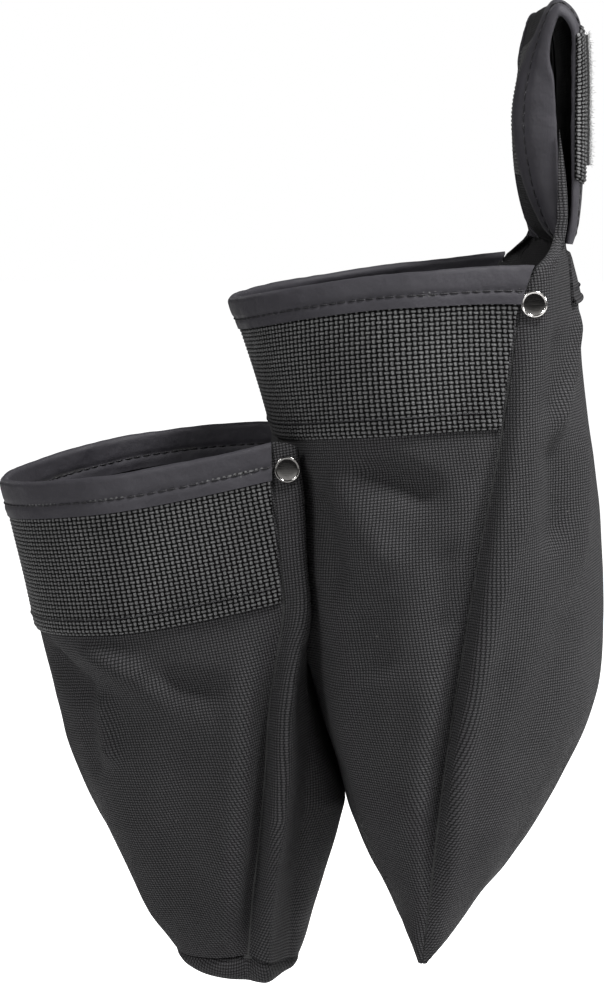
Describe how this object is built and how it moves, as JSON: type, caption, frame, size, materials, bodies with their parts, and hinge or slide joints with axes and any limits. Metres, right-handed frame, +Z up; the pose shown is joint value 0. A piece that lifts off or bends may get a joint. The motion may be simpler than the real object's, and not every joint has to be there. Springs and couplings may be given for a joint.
{
  "type": "tool pouch",
  "caption": "Tiered black fabric tool pouch: a wide bag on a belt loop with a smaller bag hung on its front, webbing round both mouths, riveted corners and a hook-and-loop patch.",
  "frame": {"origin": "centre of the belt tunnel inside the belt loop", "axes": "+X along the belt to the wearer's right hand side view, +Y from the pouch towards the wearer, +Z up"},
  "size_m": [0.172, 0.2158, 0.3407],
  "materials": {
    "woven_cloth": "coarse plain weave, dull",
    "webbing": "coarse webbing, slight sheen",
    "edge_tape": "smooth folded binding",
    "seam_tape": "plain tape",
    "backing_tape": "flat tape",
    "fastener_pile": "fuzzy loop pile",
    "rivet_metal": "polished nickel"
  },
  "bodies": {
    "belt_loop": {"loop_panel": "woven_cloth", "loop_binding_right": "edge_tape", "loop_binding_left": "edge_tape", "loop_front_band": "webbing", "loop_back_webbing": "webbing", "fastener_backing": "backing_tape", "fastener_pile": "fastener_pile", "loop_edge_strip_right": "woven_cloth", "loop_edge_strip_left": "woven_cloth"},
    "upper_pouch": {"upper_front_panel": "woven_cloth", "upper_back_panel": "woven_cloth", "upper_webbing": "webbing", "upper_rim_binding": "edge_tape", "upper_seam_tape_right": "seam_tape", "upper_seam_tape_left": "seam_tape", "upper_bottom_tape": "seam_tape", "upper_rivet_caps": "rivet_metal", "upper_rivet_posts": "rivet_metal", "upper_rivet_backs": "rivet_metal", "loop_tail": "woven_cloth", "loop_tail_hem": "woven_cloth"},
    "lower_pouch": {"lower_front_panel": "woven_cloth", "lower_back_panel": "woven_cloth", "lower_base_panel": "woven_cloth", "lower_webbing": "webbing", "lower_rim_binding": "edge_tape", "lower_seam_tape_right": "seam_tape", "lower_seam_tape_left": "seam_tape", "lower_rivet_caps": "rivet_metal", "lower_rivet_posts": "rivet_metal", "lower_rivet_backs": "rivet_metal"}
  },
  "joints": [
    {"name": "pouch_swing", "type": "hinge", "parent": "belt_loop", "child": "upper_pouch", "pos_m": [0, 0.0006, -0.0425], "axis": [1, 0, 0], "range_deg": [-25, 20], "stiffness_Nm_per_rad": 1.2, "springref_deg": -8.59},
    {"name": "lower_bag_swing", "type": "hinge", "parent": "upper_pouch", "child": "lower_pouch", "pos_m": [0, -0.098, -0.1145], "axis": [-1, 0, 0], "range_deg": [0, 45]}
  ]
}
